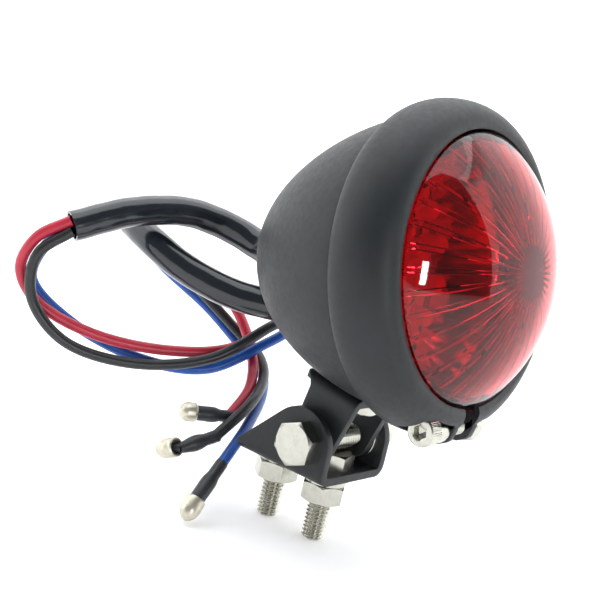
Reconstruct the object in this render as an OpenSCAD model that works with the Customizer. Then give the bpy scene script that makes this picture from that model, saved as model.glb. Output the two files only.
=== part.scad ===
// Tail light: bullet housing with a split visor rim, fluted red lens and a
// two-channel tilting bracket, with its cable, sleeve and push-on terminals.
// Millimetres. +Z up, the lens faces -Y, +X is the pivot nut side.
// Origin: midway between the two mounting studs, on the base plate's underside.

/* [Lamp] */
// tilt of the lamp axis above horizontal at rest, degrees
tilt = 12.5; // [0:0.5:30]
// height of the lamp axis above the pivot
axis_h = 43.2; // [40:0.1:50]
// distance of the rim's front lip ahead of the pivot
lip_d = 38.24; // [34:0.1:44]
// largest radius of the visor rim
rim_r = 38.2; // [35:0.1:44]
// radius of the rim's front opening
lip_r = 31.2; // [28:0.1:34]
// axial depth of the visor rim
rim_d = 16.2; // [12:0.1:20]
// sheet thickness of rim and housing
wall = 1.6; // [1.2:0.1:2.5]
// outer radius of the housing where it meets the rim
shell_r = 34.5; // [32:0.1:38]
// axial length of the bullet behind the rim
shell_l = 43; // [36:0.5:50]
// height of the lens dome ahead of the lip
dome_h = 13.7; // [8:0.1:16]
// radius of the lens at the lip
lens_r = 30.7; // [27:0.1:33]
// radius of the smooth disc at the lens centre
disc_r = 5.8; // [4:0.1:8]

/* [Bracket] */
// outer width of the lower channel
base_w = 25.4; // [20:0.1:30]
// base plate front edge, ahead of the origin
base_f = 15; // [12:0.5:22]
// base toe, behind the origin
base_b = 12.5; // [10:0.5:20]
// sheet thickness of both channels
plate = 2; // [1.5:0.1:3]
// pivot position ahead of the origin
piv_y = 7.4; // [4:0.1:10]
// pivot height above the base underside
piv_z = 8.7; // [8:0.1:14]
// rounded top of the lower cheeks
ear_r = 9; // [8:0.1:11]
// outer width of the upper channel
up_w = 17; // [14:0.1:18]
// slope of the saddle web against the lamp axis, degrees
web_a = 20; // [0:0.5:30]

/* [Fasteners] */
// half distance between the two mounting studs
stud_y = 7.6; // [6:0.1:10]
// stud radius
stud_r = 3; // [2.5:0.1:4]
// stud tip below the base underside
stud_l = 17.6; // [12:0.1:25]
// hexagon across corners radius for the large screws
hex_r = 5.77; // [5:0.01:6.5]

/* [Cable] */
// sleeve diameter
sleeve_d = 8.2; // [6:0.1:10]
// wire diameter
wire_d = 2.9; // [2:0.1:3.5]

/* [Hidden] */
black_c = [0.05, 0.055, 0.06];
steel_c = [0.72, 0.71, 0.68];
clamp_z = -36.1;   // clamp screw axis, from the lamp axis
clamp_s = 5.6;     // clamp screw axis, behind the lip plane
tab_i = 3; tab_o = 5;   // the two clamp tabs, from the middle plane
shell_s = rim_d - 0.4;  // crease between rim and bullet

// places children, drawn in the lamp frame (origin on the pivot, lens towards -Y)
module lamp() translate([0, -piv_y, piv_z]) rotate([-tilt, 0, 0]) children();
// places children drawn round the lamp axis, height counted rearwards from the lip
module on_axis() lamp() translate([0, -lip_d, axis_h]) rotate([-90, 0, 0]) children();
// the saddle web's own frame: +Z into the housing, +Y rearwards along the web
web_y = -13.64; web_z = 10.25;
module on_web() lamp() translate([0, web_y, web_z]) rotate([web_a, 0, 0]) children();

// radius of the bullet at a distance s behind the lip, for a shell of length l
function bullet(s, r0, l) = let (k = max(0, (s - shell_s) / l)) r0 * sqrt(max(0, 1 - pow(k, 1.5)));
// visor rim outline, bulging between the lip and the crease
function bulge(t, m) = [rim_d / 2 * (1 - cos(t)) + m * cos(t),
  (lip_r + 0.6) + (shell_r - 0.2 - lip_r - 0.6) * t / 180
  + (rim_r - (lip_r + shell_r + 0.4) / 2) * pow(sin(t), 0.85) - m * sin(t)];

module housing() color(black_c) on_axis() difference() {
  rotate_extrude($fn = 96) polygon(concat(
    [[0, shell_s + shell_l]],
    [for (i = [19 : -1 : 0]) let (s = shell_s + shell_l * (1 - pow(1 - i / 20, 2)))
      [bullet(s, shell_r, shell_l), s]],
    [[shell_r, 15.2], [35.3, 15.2], [35.3, 13.6], [32.7, 13.6]],
    [for (i = [0 : 18]) let (s = shell_s + (shell_l - wall) * (1 - pow(1 - i / 18, 2)))
      [bullet(s, shell_r - wall, shell_l - wall), s]],
    [[0, shell_s + shell_l - wall]]));
  // cable hole
  grommet_place() cylinder(r = 5.4, h = 16, center = true, $fn = 32);
  // two saddle screw holes
  rotate([90, 0, 0]) translate([0, lip_d, -axis_h]) translate([0, web_y, web_z]) rotate([web_a, 0, 0])
    for (y = saddle_at) translate([0, y, -3]) cylinder(r = 1.95, h = 12, $fn = 24);
}

module visor_rim() color(black_c) on_axis() difference() {
  union() {
    difference() {
      rotate_extrude($fn = 96) polygon(concat(
        [for (t = [0 : 10 : 170]) let (p = bulge(t, 0)) [p[1], p[0]]],
        [[35.3, 16.0], [shell_r, rim_d], [shell_r, 15.2], [35.5, 15.2]],
        [for (t = [155 : -10 : 105]) let (p = bulge(t, 1.3)) [p[1], p[0]]],
        [[36.4, 10], [34, 10], [34, 8.8], [36.8, 8.8]],
        [for (t = [90 : -10 : 10]) let (p = bulge(t, 1.3)) [p[1], p[0]]],
        [[lip_r, 1.4], [lip_r, 0.5]]));
      // split, and room for the screw head, spacer and nut on either side of it
      translate([-tab_i, 20, -2]) cube([2 * tab_i, 30, 22]);
      for (s = [-1, 1]) translate([s > 0 ? tab_o : -15.5, 33.1, 1.3])
        cube([s > 0 ? 6 : 15.5 - tab_o, 10, 8.6]);
    }
    // clamp tabs closing the two cut ends
    for (s = [-1, 1]) translate([s > 0 ? tab_i : -tab_o, 0, 0]) rotate([0, 90, 0])
      linear_extrude(tab_o - tab_i) polygon(
        [[-1.6, 32.5], [-9.8, 32.7], [-11.4, 36.1], [-9.4, 38.9], [-6, 39.7], [-3, 38.5], [-1.6, 35.5]]);
  }
  translate([0, -clamp_z, clamp_s]) rotate([0, 90, 0]) cylinder(r = 2.2, h = 20, center = true, $fn = 24);
}

module clamp_axis() on_axis() translate([0, -clamp_z, clamp_s]) rotate([0, 90, 0]) children();
module rim_clamp_screw() color(steel_c) clamp_axis() difference() {
  union() {
    translate([0, 0, -12.9]) cylinder(r = 3.5, h = 4, $fn = 32);
    translate([0, 0, -8.9]) cylinder(r = 2, h = 19, $fn = 24);
  }
  translate([0, 0, -13]) rotate(30) cylinder(r = 1.73, h = 2.4, $fn = 6);
}
module rim_clamp_spacer() color(steel_c) clamp_axis() translate([0, 0, -8.9]) difference() {
  cylinder(r = 3.1, h = 3.9, $fn = 32);
  translate([0, 0, -1]) cylinder(r = 2.1, h = 6, $fn = 24);
}
module rim_clamp_nut() color(steel_c) clamp_axis() translate([0, 0, tab_o]) difference() {
  cylinder(r = 4.04, h = 3.2, $fn = 6);
  translate([0, 0, -1]) cylinder(r = 1.9, h = 6, $fn = 24);
}

// clear dome with a smooth centre disc, straight skirt and clamped flange
dome_R = (lens_r * lens_r + dome_h * dome_h) / (2 * dome_h);
function dome(r, m) = dome_R - dome_h - sqrt((dome_R - m) * (dome_R - m) - r * r);
module lens() color([0.75, 0.02, 0.05, 0.6]) on_axis() rotate_extrude($fn = 72) polygon(concat(
  [[0, dome(disc_r, 0)], [disc_r, dome(disc_r, 0)]],
  [for (r = [8 : 3 : 29]) [r, dome(r, 0)]],
  [[lens_r, 0], [lens_r + 0.3, 9.6], [34.6, 10], [34.6, 12], [29.2, 12], [28.8, 1.2]],
  [for (r = [26 : -4 : 10]) [r, dome(r, 1.8)]],
  [[disc_r, dome(disc_r, 1.8)], [0, dome(disc_r, 1.8)]]));

module ring_s(r1, r2, s1, s2, n = 72) rotate_extrude($fn = n) translate([r1, s1]) square([r2 - r1, s2 - s1]);
module lens_gasket() color([0.03, 0.03, 0.03]) on_axis() ring_s(30.8, 34.9, 12, 13);
module reflector() color([0.8, 0.8, 0.82]) on_axis() rotate_extrude($fn = 72) polygon([
  [34.9, 13], [34.9, 13.6], [32, 13.6], [25.2, 27.2], [25.2, 28],
  [21.8, 28], [21.8, 27.2], [24.4, 27.2], [31, 13]]);
module led_board() color([0.85, 0.85, 0.82]) on_axis() translate([0, 0, 28]) difference() {
  cylinder(r = 24.6, h = 1.6, $fn = 64);
  for (a = [90, 210, 330]) rotate(a) translate([14, 0, -1]) cylinder(r = 1.6, h = 4, $fn = 16);
}
module led_emitters() color([0.9, 0.3, 0.3]) on_axis() for (q = concat(
    [for (i = [0 : 11]) [18.4, 15 + 30 * i]], [for (i = [0 : 5]) [8, 30 + 60 * i]], [[0, 0]]))
  rotate(q[1]) translate([q[0], 0, 0]) {
    translate([0, 0, 27]) cylinder(r = 2.9, h = 1, $fn = 16);
    translate([0, 0, 22]) cylinder(r = 2.5, h = 5, $fn = 16);
    translate([0, 0, 20.4]) cylinder(r1 = 1.3, r2 = 2.5, h = 1.6, $fn = 16);
  }
module board_resistors() color([0.1, 0.1, 0.1]) on_axis()
  for (a = [0 : 60 : 300]) rotate(a + 60) translate([12.6, a % 120 == 0 ? -3.2 : 3.2, 27.3])
    cube([1.6, 3.2, 1.4], center = true);
module board_standoffs() color(steel_c) on_axis()
  for (a = [90, 210, 330]) rotate(a) translate([14, 0, 29.6]) difference() {
  cylinder(r = 2.9, h = 20.9, $fn = 6);
  translate([0, 0, -1]) cylinder(r = 1.4, h = 8, $fn = 16);
}
module board_screws() color(steel_c) on_axis() for (a = [90, 210, 330]) rotate(a) translate([14, 0, 0]) {
  translate([0, 0, 26]) cylinder(r = 2.7, h = 2, $fn = 24);
  translate([0, 0, 27.9]) cylinder(r = 1.5, h = 6, $fn = 16);
}

// upper channel: saddle web under the housing, two cheeks down to the pivot
cheek_y = 9.31; cheek_z = -14.3;   // pivot seen from the web's frame
saddle_at = [5.2, 12.8];   // saddle screws along the web
module upper_bracket() color(black_c) on_web() {
  difference() {
    union() {
      translate([0, 0, -plate / 2]) hull() {
        for (s = [-1, 1]) translate([s * (up_w / 2 - 2), 17, 0])
          cylinder(r = 2, h = plate, center = true, $fn = 32);
        translate([-up_w / 2, 1.5, -plate / 2]) cube([up_w, 8, plate]);
      }
    }
    for (y = saddle_at) translate([0, y, -5]) cylinder(r = 2.2, h = 10, $fn = 24);
  }
  for (s = [-1, 1]) translate([s > 0 ? up_w / 2 - plate : -up_w / 2, 0, 0]) difference() {
    rotate([90, 0, 90]) linear_extrude(plate) hull() {
      translate([10, -14]) circle(r = 6.2, $fn = 48);
      polygon([[1.5, -0.4], [1.5, -2.2], [15.3, -2.2], [15.3, -0.4]]);
    }
    translate([-1, cheek_y, cheek_z]) rotate([0, 90, 0]) cylinder(r = 3.05, h = 5, $fn = 48);
  }
}
module saddle_screws() color(steel_c) on_web() for (y = saddle_at) translate([0, y, 0]) {
  translate([0, 0, 3.2]) cylinder(r1 = 3.6, r2 = 2.4, h = 1.6, $fn = 24);
  translate([0, 0, -5.4]) cylinder(r = 2, h = 8.8, $fn = 24);
}
module saddle_nuts() color(steel_c) on_web()
  for (y = saddle_at) translate([0, y, -plate - 2.6]) difference() {
  cylinder(r = 4.04, h = 2.6, $fn = 6);
  translate([0, 0, -1]) cylinder(r = 1.9, h = 5, $fn = 24);
}

// lower channel: base plate and two pointed cheeks
ear_at = [-6.05, 7.85];   // centre of the rounded ear, a little behind the pivot
module cheek_2d() intersection() {
  hull() {
    translate(ear_at) circle(r = ear_r, $fn = 64);
    polygon([[-base_f, 0], [base_b - 0.6, 0], [base_b, 1.2], [base_b - 0.3, 2.4], [-base_f, 4]]);
  }
  translate([-base_f, 0]) square([60, 40]);
}
module lower_bracket() color(black_c) difference() {
  union() {
    for (s = [-1, 1]) translate([s > 0 ? base_w / 2 - plate : -base_w / 2, 0, 0])
      rotate([90, 0, 90]) linear_extrude(plate) cheek_2d();
    // bent corners, then the flat base
    translate([-base_w / 2 + 1.6, -base_f, 0]) cube([base_w - 3.2, base_f + base_b - 0.6, plate]);
  }
  for (s = [-1, 1]) {
    translate([0, s * stud_y, -1]) cylinder(r = 3.2, h = 4, $fn = 32);
    // rounded lower edges
    translate([s * (base_w / 2 - 1.6), 0, 1.6]) rotate([90, 0, 0]) linear_extrude(60, center = true)
      difference() { translate([s > 0 ? 0 : -3, -3]) square(3); circle(r = 1.6, $fn = 24); }
  }
  translate([0, -piv_y, piv_z]) rotate([0, 90, 0]) cylinder(r = 3.2, h = 40, center = true, $fn = 48);
}

module on_pivot() translate([0, -piv_y, piv_z]) rotate([0, 90, 0]) children();
module pivot_bolt() color(steel_c) on_pivot() {
  translate([0, 0, -base_w / 2 - 4]) intersection() {
    rotate(8) cylinder(r = hex_r, h = 4, $fn = 6);
    cylinder(r1 = 5.1, r2 = 6.5, h = 1, $fn = 32);
  }
  translate([0, 0, -base_w / 2 - 3]) rotate(8) cylinder(r = hex_r, h = 3, $fn = 6);
  translate([0, 0, -base_w / 2 - 1]) cylinder(r = 3, h = base_w + 8.5, $fn = 48);
}
module pivot_washers() color(steel_c) on_pivot() for (s = [-1, 1])
  translate([0, 0, s > 0 ? up_w / 2 + 0.05 : -base_w / 2 + plate]) difference() {
    cylinder(r = 6, h = base_w / 2 - plate - up_w / 2 - 0.05, $fn = 32);
    translate([0, 0, -1]) cylinder(r = 3.2, h = 4, $fn = 32);
  }
module pivot_nut() color(steel_c) on_pivot() translate([0, 0, base_w / 2]) difference() {
  rotate(20) cylinder(r = hex_r, h = 5, $fn = 6);
  translate([0, 0, -1]) cylinder(r = 2.9, h = 8, $fn = 32);
}

free_z = 7.7;   // the free end starts just below the nut
module at_studs() for (s = [-1, 1]) translate([0, s * stud_y, 0]) children();
module mounting_bolts() color(steel_c) at_studs() {
  translate([0, 0, plate]) cylinder(r = hex_r, h = 3.6, $fn = 6);
  translate([0, 0, -stud_l]) cylinder(r1 = stud_r - 0.5, r2 = stud_r, h = 0.8, $fn = 32);
  translate([0, 0, -stud_l + 0.8]) cylinder(r = stud_r, h = stud_l - 0.8 - free_z, $fn = 32);
  // held stretch through nut, washers and plate
  translate([0, 0, -free_z - 0.1]) cylinder(r = stud_r - 0.25, h = free_z + plate + 0.2, $fn = 32);
}
module mounting_flat_washers() color(steel_c) at_studs() translate([0, 0, -1.2]) difference() {
  cylinder(r = 6, h = 1.2, $fn = 32);
  translate([0, 0, -1]) cylinder(r = 3.2, h = 4, $fn = 32);
}
module mounting_lock_washers() color(steel_c) at_studs() translate([0, 0, -2.7]) difference() {
  cylinder(r = 5.2, h = 1.5, $fn = 32);
  translate([0, 0, -1]) cylinder(r = 3.1, h = 4, $fn = 32);
  translate([3, -0.4, -1]) cube([4, 0.8, 4]);
}
module mounting_nuts() color(steel_c) for (s = [-1, 1]) translate([0, s * stud_y, -7.5]) difference() {
  rotate(s < 0 ? 33 : -8) cylinder(r = hex_r, h = 4.8, $fn = 6);
  translate([0, 0, -1]) cylinder(r = 2.7, h = 8, $fn = 32);
}

// rubber grommet square to the shell, on the rear of the +X side
module grommet_place() rotate(8) translate([7.2, 0, 57.5]) rotate([0, 19, 0]) children();
module cable_grommet() color([0.03, 0.03, 0.03]) on_axis() grommet_place() difference() {
  union() {
    translate([0, 0, -4]) cylinder(r = 5.4, h = 6, $fn = 32);
    translate([0, 0, 1]) cylinder(r1 = 7, r2 = 5, h = 5.4, $fn = 32);
  }
  translate([0, 0, -5]) cylinder(r = 4.05, h = 14, $fn = 32);
}

// routes of the sleeves and wires, points in millimetres
// sleeve from the grommet to its open mouth
cable_sleeve_route = [
  [7.5, 21, 45.5], [10.5, 30.5, 43.5], [11, 39, 45], [7, 46.5, 47.5], [-2.5, 53, 49.5],
  [-16, 59, 47.5], [-30, 65.5, 41.5]];
// second sleeve, over the bundle again
tail_sleeve_route = [[12, 24, 31.5], [4.5, 37.5, 31.5], [-2.5, 50, 35], [-6, 60, 39.5], [-4.5, 70, 42]];
// wires from the first mouth, round the loop, back to the second sleeve
black_wire_route = [
  [-30.5, 64.5, 40.5], [-36, 69.5, 33], [-35, 70, 21.5], [-27.5, 63.5, 11.5], [-13, 51.5, 8.5],
  [3, 38.5, 13.5], [16.5, 32, 24], [28, 30, 28.5], [31, 23, 31.5], [26.5, 17, 34.5],
  [17.5, 16.5, 33.5], [11.5, 23, 30.5]];
red_wire_route = [
  [-30.5, 65.5, 43], [-36, 71, 37], [-36.5, 74.5, 28], [-32, 71.5, 20], [-20.5, 61.5, 14],
  [-4, 49, 12.5], [10.5, 39.5, 15.5], [24, 36, 23.5], [36.5, 32.5, 29.5], [39.5, 25, 33],
  [35, 17.5, 35.5], [24.5, 13, 37], [16, 15.5, 36], [11.5, 24, 33]];
blue_wire_route = [
  [-29, 67, 41], [-33, 71, 34.5], [-32, 74.5, 25], [-23.5, 68.5, 16], [-9, 54, 9], [4.5, 41, 9.5],
  [18, 33, 19], [31.5, 29.5, 26.5], [35, 22, 30], [30.5, 16, 32.5], [21.5, 17.5, 32.5],
  [13.5, 25, 31.5]];
// tails out of the second sleeve, down to the terminals
red_tail_route = [
  [-4.5, 69.5, 44], [0, 77, 44.5], [6.5, 78, 42.5], [11, 75, 37], [16.5, 62.5, 31.5],
  [18.5, 48.5, 25], [16.5, 37, 15], [8.5, 28.5, 8.5], [-3.5, 23.5, 3]];
black_tail_route = [
  [-3, 70, 41.5], [0, 75.5, 42], [5, 76.5, 40], [8.5, 72.5, 35.5], [13.5, 61, 28], [19, 47.5, 19],
  [20, 37.5, 14], [14.5, 29.5, 11], [2.5, 22, 7], [-12, 19.5, 0]];
blue_tail_route = [
  [-5.5, 70.5, 41.5], [-2.5, 77, 42], [2, 79.5, 40], [7, 78, 36], [11.5, 70.5, 29.5],
  [18, 57, 21.5], [21.5, 44.5, 13.5], [20.5, 35.5, 10], [13, 27.5, 6.5], [-0.5, 19.5, 1.5],
  [-15, 13.5, -5]];
// wire end, end of the shrink tube, tip of the terminal
red_end = [[-3.5, 23.5, 3], [-11, 28.25, 3], [-14.75, 30.75, 3]];
black_end = [[-12, 19.5, 0], [-20.5, 22.75, -3.5], [-21.25, 23.25, -3.25], [-21.25, 29.25, -6.25]];
blue_end = [[-15, 13.5, -5], [-23.25, 11.75, -12], [-27.25, 11, -16.5]];

function unit(v) = v / norm(v);
function along(p, i) = i == 0 ? unit(p[1] - p[0]) : i == len(p) - 1 ? unit(p[i] - p[i - 1])
  : unit(unit(p[i + 1] - p[i]) + unit(p[i] - p[i - 1]));
function flat(v, t) = unit(v - (v * t) * t);
function carry(p, i, v, acc) = i == len(p) ? acc
  : let (t = along(p, i), n = flat(v, t)) carry(p, i + 1, n, concat(acc, [[n, cross(t, n)]]));
// round tube of radius r and n sides along the points p
module tube(p, r, n) {
  q = carry(p, 0, [0.3, 0.5, 1], []);
  m = len(p);
  polyhedron(
    points = [for (i = [0 : m - 1]) for (k = [0 : n - 1])
      p[i] + r * (cos(360 * k / n) * q[i][0] + sin(360 * k / n) * q[i][1])],
    faces = concat([[for (k = [0 : n - 1]) k]], [[for (k = [n - 1 : -1 : 0]) (m - 1) * n + k]],
      [for (i = [0 : m - 2]) for (k = [0 : n - 1]) [i * n + k, (i + 1) * n + k, (i + 1) * n + (k + 1) % n]],
      [for (i = [0 : m - 2]) for (k = [0 : n - 1])
        [i * n + k, (i + 1) * n + (k + 1) % n, i * n + (k + 1) % n]]));
}
// round rod between two points
module rod(a, b, r1, r2, n = 24) let (v = b - a)
  translate(a) rotate([0, acos(v[2] / norm(v)), atan2(v[1], v[0])])
  cylinder(r1 = r1, r2 = r2, h = norm(v), $fn = n);

red_c = [0.7, 0.03, 0.07]; blue_c = [0.02, 0.12, 0.5]; dark_c = [0.03, 0.03, 0.035];
module cable_sleeve() color(dark_c) tube(cable_sleeve_route, sleeve_d / 2, 12);
module tail_sleeve() color(dark_c) tube(tail_sleeve_route, sleeve_d / 2, 12);
module red_wire() color(red_c) tube(red_wire_route, wire_d / 2, 8);
module black_wire() color(dark_c) tube(black_wire_route, wire_d / 2, 8);
module blue_wire() color(blue_c) tube(blue_wire_route, wire_d / 2, 8);
module red_tail() color(red_c) tube(red_tail_route, wire_d / 2, 8);
module black_tail() color(dark_c) tube(black_tail_route, wire_d / 2, 8);
module blue_tail() color(blue_c) tube(blue_tail_route, wire_d / 2, 8);
// shrink tubes, and bullet terminals with a rounded tip
module shrink(e) rod(e[0], e[1], 2, 2);
module bullet_end(a, b) { rod(a, a + 0.55 * (b - a), 2.5, 2.5); rod(a + 0.54 * (b - a), b, 2.4, 1); }
module red_shrink() color(dark_c) shrink(red_end);
module blue_shrink() color(dark_c) shrink(blue_end);
module red_terminal() color(steel_c) bullet_end(red_end[1], red_end[2]);
module blue_terminal() color(steel_c) bullet_end(blue_end[1], blue_end[2]);
// the black one narrows to a neck that enters the terminal's open mouth
module black_shrink() color(dark_c) let (e = black_end, k = e[0] + 0.7 * (e[1] - e[0])) {
  rod(e[0], k, 2, 2);
  rod(e[0] + 0.68 * (e[1] - e[0]), e[1], 1.9, 1.3);
  rod(e[0] + 0.98 * (e[1] - e[0]), e[2] + 0.2 * (e[3] - e[2]), 1.2, 1);
}
module black_terminal() color(steel_c) let (e = black_end) difference() {
  bullet_end(e[2], e[3]);
  rod(e[2] - 0.2 * (e[3] - e[2]), e[2] + 0.3 * (e[3] - e[2]), 1.9, 1.1);
}

housing();
visor_rim();
rim_clamp_screw();
rim_clamp_spacer();
rim_clamp_nut();
lens();
lens_gasket();
reflector();
led_board();
led_emitters();
board_resistors();
board_standoffs();
board_screws();
upper_bracket();
saddle_screws();
saddle_nuts();
lower_bracket();
pivot_bolt();
pivot_washers();
pivot_nut();
mounting_bolts();
mounting_flat_washers();
mounting_lock_washers();
mounting_nuts();
cable_grommet();
cable_sleeve();
tail_sleeve();
red_wire();
black_wire();
blue_wire();
red_tail();
black_tail();
blue_tail();
red_shrink();
black_shrink();
blue_shrink();
red_terminal();
black_terminal();
blue_terminal();
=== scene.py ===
"""Tail light: bullet housing, split visor rim, fluted red lens, two-channel tilting bracket and its wiring.

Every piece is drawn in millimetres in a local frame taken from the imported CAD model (see the frame matrices) and
ends up in metres. The order is: camera, cords, metal parts, lens and what is inside it, materials, studio.
"""
import math

import bmesh
import bpy
from mathutils import Matrix, Vector


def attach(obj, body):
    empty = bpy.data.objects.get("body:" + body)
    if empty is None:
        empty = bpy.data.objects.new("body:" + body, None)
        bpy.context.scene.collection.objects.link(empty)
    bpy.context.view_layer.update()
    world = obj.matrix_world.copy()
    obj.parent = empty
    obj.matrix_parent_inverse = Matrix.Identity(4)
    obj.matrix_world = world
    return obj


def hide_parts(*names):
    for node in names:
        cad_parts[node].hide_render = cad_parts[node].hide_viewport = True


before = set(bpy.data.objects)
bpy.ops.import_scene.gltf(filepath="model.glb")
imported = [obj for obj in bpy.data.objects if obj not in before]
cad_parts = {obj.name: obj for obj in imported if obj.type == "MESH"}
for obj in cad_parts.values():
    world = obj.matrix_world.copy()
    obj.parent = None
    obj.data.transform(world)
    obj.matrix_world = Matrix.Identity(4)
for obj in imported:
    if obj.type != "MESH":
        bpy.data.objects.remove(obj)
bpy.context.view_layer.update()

MM = 0.001
TAU = 2 * math.pi


def rot(degrees, axis):
    return Matrix.Rotation(math.radians(degrees), 4, axis)


def move(x, y, z):
    return Matrix.Translation((x, y, z))


# ------------------------------------------------------------------ frames, the same as in the CAD model
TILT = 12.5                       # lamp axis above horizontal at rest
PIVOT_Y, PIVOT_Z = -7.4, 8.7
BASE = Matrix.Identity(4)
LAMP = move(0, PIVOT_Y, PIVOT_Z) @ rot(-TILT, "X")
AXIS = LAMP @ move(0, -38.24, 43.2) @ rot(-90, "X")          # z rearwards from the rim's lip
WEB = LAMP @ move(0, -13.64, 10.25) @ rot(20, "X")             # z into the housing, y rearwards
ON_PIVOT = move(0, PIVOT_Y, PIVOT_Z) @ rot(90, "Y")          # z along +X
CLAMP = AXIS @ move(0, 36.1, 5.6) @ rot(90, "Y")
GROMMET = AXIS @ rot(8, "Z") @ move(7.2, 0, 57.5) @ rot(19, "Y")

# ------------------------------------------------------------------ camera
AZIMUTH, ELEVATION, ROLL = (math.radians(a) for a in (-52.94, 11.2, 12.86))
FOCAL_PIXELS, FRAME_PIXELS = 1294.54, 600
CAMERA_PLACE = Vector((-251.6, -177.74, 100.05)) * MM


def camera_matrix():
    back = Vector((math.sin(AZIMUTH) * math.cos(ELEVATION), -math.cos(AZIMUTH) * math.cos(ELEVATION), math.sin(ELEVATION)))
    right0 = Vector((math.cos(AZIMUTH), math.sin(AZIMUTH), 0))
    up0 = back.cross(right0)
    right = math.cos(ROLL) * right0 + math.sin(ROLL) * up0
    up = -math.sin(ROLL) * right0 + math.cos(ROLL) * up0
    m = Matrix.Identity(4)
    for i, v in enumerate((right, up, back, CAMERA_PLACE)):
        m.col[i][:3] = v
    return m


cam_data = bpy.data.cameras.new("camera")
cam_data.sensor_fit = "HORIZONTAL"
cam_data.sensor_width = 36
cam_data.lens = FOCAL_PIXELS / FRAME_PIXELS * 36
cam_data.clip_start = 0.01
camera = bpy.data.objects.new("camera", cam_data)
bpy.context.scene.collection.objects.link(camera)
camera.matrix_world = camera_matrix()
bpy.context.scene.camera = camera


# ------------------------------------------------------------------ materials
class Finish:
    """A Principled material with a few node helpers. Coordinates are the piece's own, in metres."""

    def __init__(self, name, **sockets):
        self.mat = bpy.data.materials.new(name)
        self.mat.use_nodes = True
        self.tree = self.mat.node_tree
        self.bsdf = next(n for n in self.tree.nodes if n.type == "BSDF_PRINCIPLED")
        self.coord = self.node("ShaderNodeTexCoord").outputs["Object"]
        for key, value in sockets.items():
            socket = self.bsdf.inputs[key.replace("_", " ")]
            socket.default_value = (*value, 1) if isinstance(value, tuple) else value

    def node(self, kind, **values):
        n = self.tree.nodes.new(kind)
        for key, value in values.items():
            setattr(n, key, value)
        return n

    def link(self, a, b):
        self.tree.links.new(a, b)

    def stretch(self, x, y, z):
        n = self.node("ShaderNodeMapping")
        n.inputs["Scale"].default_value = (x, y, z)
        self.link(self.coord, n.inputs["Vector"])
        return n.outputs["Vector"]

    def noise(self, size_mm, detail=3.0, rough=0.5, coord=None):
        n = self.node("ShaderNodeTexNoise")
        n.inputs["Scale"].default_value = 1 / (size_mm * MM)
        n.inputs["Detail"].default_value = detail
        n.inputs["Roughness"].default_value = rough
        self.link(coord or self.coord, n.inputs["Vector"])
        return n.outputs["Fac"]

    def cells(self, size_mm):
        n = self.node("ShaderNodeTexVoronoi")
        n.inputs["Scale"].default_value = 1 / (size_mm * MM)
        self.link(self.coord, n.inputs["Vector"])
        return n.outputs["Distance"]

    def spread(self, fac, low, high, start=0.3, stop=0.7):
        n = self.node("ShaderNodeMapRange")
        for key, value in (("From Min", start), ("From Max", stop), ("To Min", low), ("To Max", high)):
            n.inputs[key].default_value = value
        self.link(fac, n.inputs["Value"])
        return n.outputs["Result"]

    def tint(self, fac, *stops):
        n = self.node("ShaderNodeValToRGB")
        ramp = n.color_ramp
        while len(ramp.elements) < len(stops):
            ramp.elements.new(0.5)
        for element, (at, colour) in zip(ramp.elements, stops):
            element.position = at
            element.color = (*colour, 1)
        self.link(fac, n.inputs["Fac"])
        return n.outputs["Color"]

    def add(self, *sources):
        total = sources[0]
        for s in sources[1:]:
            n = self.node("ShaderNodeMath", operation="ADD")
            self.link(total, n.inputs[0])
            self.link(s, n.inputs[1])
            total = n.outputs[0]
        return total

    def scaled(self, source, k):
        n = self.node("ShaderNodeMath", operation="MULTIPLY")
        self.link(source, n.inputs[0])
        n.inputs[1].default_value = k
        return n.outputs[0]

    def colour(self, source):
        self.link(source, self.bsdf.inputs["Base Color"])

    def rough(self, source):
        self.link(source, self.bsdf.inputs["Roughness"])

    def bump(self, height, depth_mm, strength=1.0):
        n = self.node("ShaderNodeBump")
        n.inputs["Strength"].default_value = strength
        n.inputs["Distance"].default_value = depth_mm * MM
        self.link(height, n.inputs["Height"])
        self.link(n.outputs["Normal"], self.bsdf.inputs["Normal"])


def powder_coat(name, dark, light, roughness):
    f = Finish(name, Specular_IOR_Level=0.42)
    f.colour(f.tint(f.noise(6, 4), (0.3, dark), (0.7, light)))
    f.rough(f.spread(f.noise(1.4, 4), roughness - 0.05, roughness + 0.06))
    f.bump(f.add(f.noise(0.22, 2), f.scaled(f.noise(0.9, 2), 0.8)), 0.02, 0.5)
    return f.mat


def steel(name, colour, dark, roughness):
    f = Finish(name, Metallic=1.0)
    f.colour(f.tint(f.noise(1.6, 4, 0.6), (0.3, dark), (0.6, colour)))
    streak = f.noise(0.35, 3, 0.6, f.stretch(0.25, 1, 1))
    f.rough(f.spread(f.add(f.scaled(f.noise(2.5, 3), 0.5), f.scaled(streak, 0.5)), roughness - 0.07, roughness + 0.1))
    f.bump(streak, 0.01, 0.15)
    return f.mat


def plastic(name, low, high, roughness, grain_mm=0.5, depth=0.01, swing=0.05, **sockets):
    f = Finish(name, **sockets)
    f.colour(f.tint(f.noise(grain_mm * 8, 3), (0.3, low), (0.7, high)))
    f.rough(f.spread(f.noise(grain_mm * 3, 3), roughness - swing, roughness + swing))
    f.bump(f.noise(grain_mm, 3), depth, 0.6)
    return f.mat


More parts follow.
